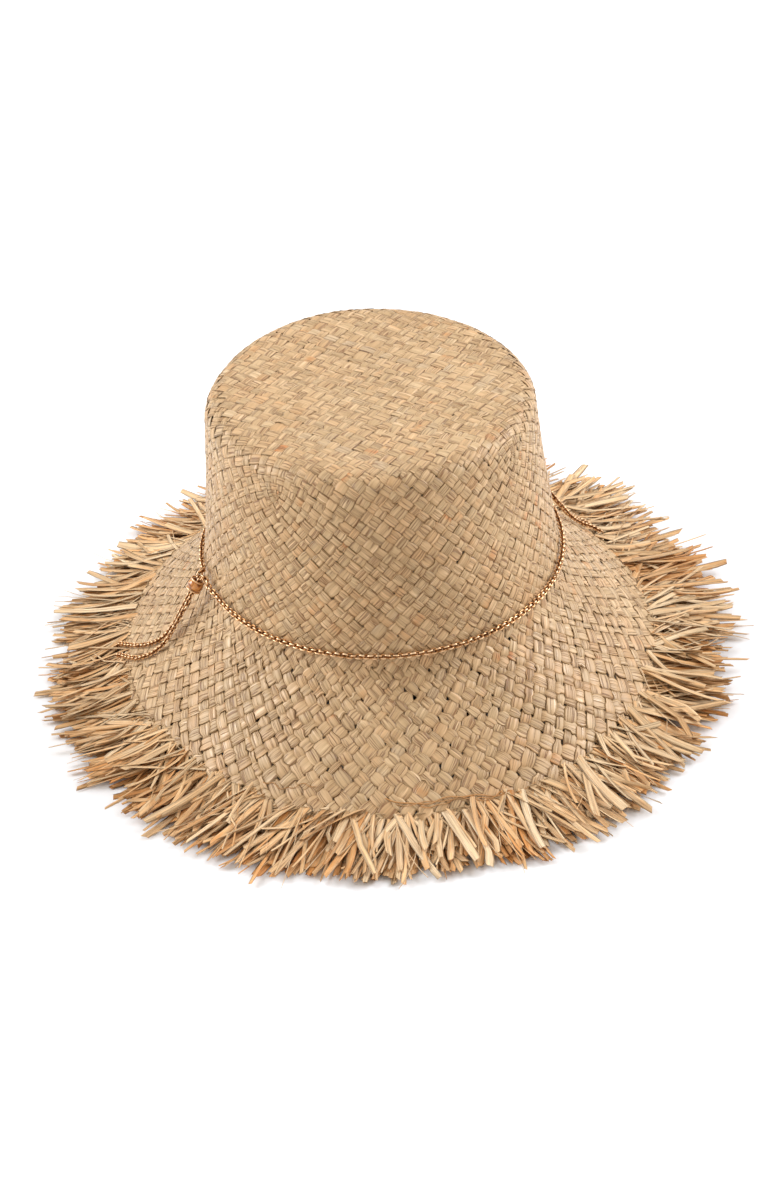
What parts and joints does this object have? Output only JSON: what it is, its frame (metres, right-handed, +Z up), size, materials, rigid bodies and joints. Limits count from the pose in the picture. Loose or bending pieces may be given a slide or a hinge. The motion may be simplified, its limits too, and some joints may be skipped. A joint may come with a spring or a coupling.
{
  "type": "straw sun hat",
  "caption": "Plaited straw sun hat with a flat crown, a turned-down bell brim with a frayed fringe, a chain round the crown and a double chin chain with sliding beads.",
  "frame": {"origin": "centre of the hat's footprint, on the surface that its fringe stands on", "axes": "+Z up through the crown, -Y towards the front of the hat, +X towards the wearer's left side"},
  "size_m": [0.352, 0.411, 0.1525],
  "materials": {
    "straw_tip": "plaited natural straw, satin",
    "straw_side": "plaited natural straw, satin",
    "straw_brim": "plaited natural straw, satin",
    "raw_straw": "loose split straw ends, satin",
    "thread": "cotton thread, matte",
    "band": "ribbed grosgrain ribbon",
    "bow": "ribbed grosgrain ribbon",
    "label": "blank woven tape",
    "chain": "polished rose-gold plating",
    "bead": "polished caramel resin"
  },
  "bodies": {
    "hat": {"crown_tip": "straw_tip", "crown_side": "straw_side", "brim": "straw_brim", "fringe_front": "raw_straw", "fringe_back": "raw_straw", "edge_stitching": "thread", "sweatband": "band", "sweatband_stitching": "thread", "sweatband_bow": "bow", "size_label": "label", "crown_chain_front": "chain", "crown_chain_back": "chain", "chain_tacks": "thread", "chin_chain_front": "chain", "chin_chain_back": "chain"},
    "slider_left": {"bead_left": "bead", "bead_left_rings": "chain"},
    "slider_right": {"bead_right": "bead", "bead_right_rings": "chain"}
  },
  "joints": [
    {"name": "slide_left", "type": "slide", "parent": "hat", "child": "slider_left", "axis": [-0.5321, -0.0375, -0.8459], "range_m": [0, 0.012]},
    {"name": "slide_right", "type": "slide", "parent": "hat", "child": "slider_right", "axis": [0.5046, 0.1739, -0.8456], "range_m": [0, 0.012]}
  ]
}
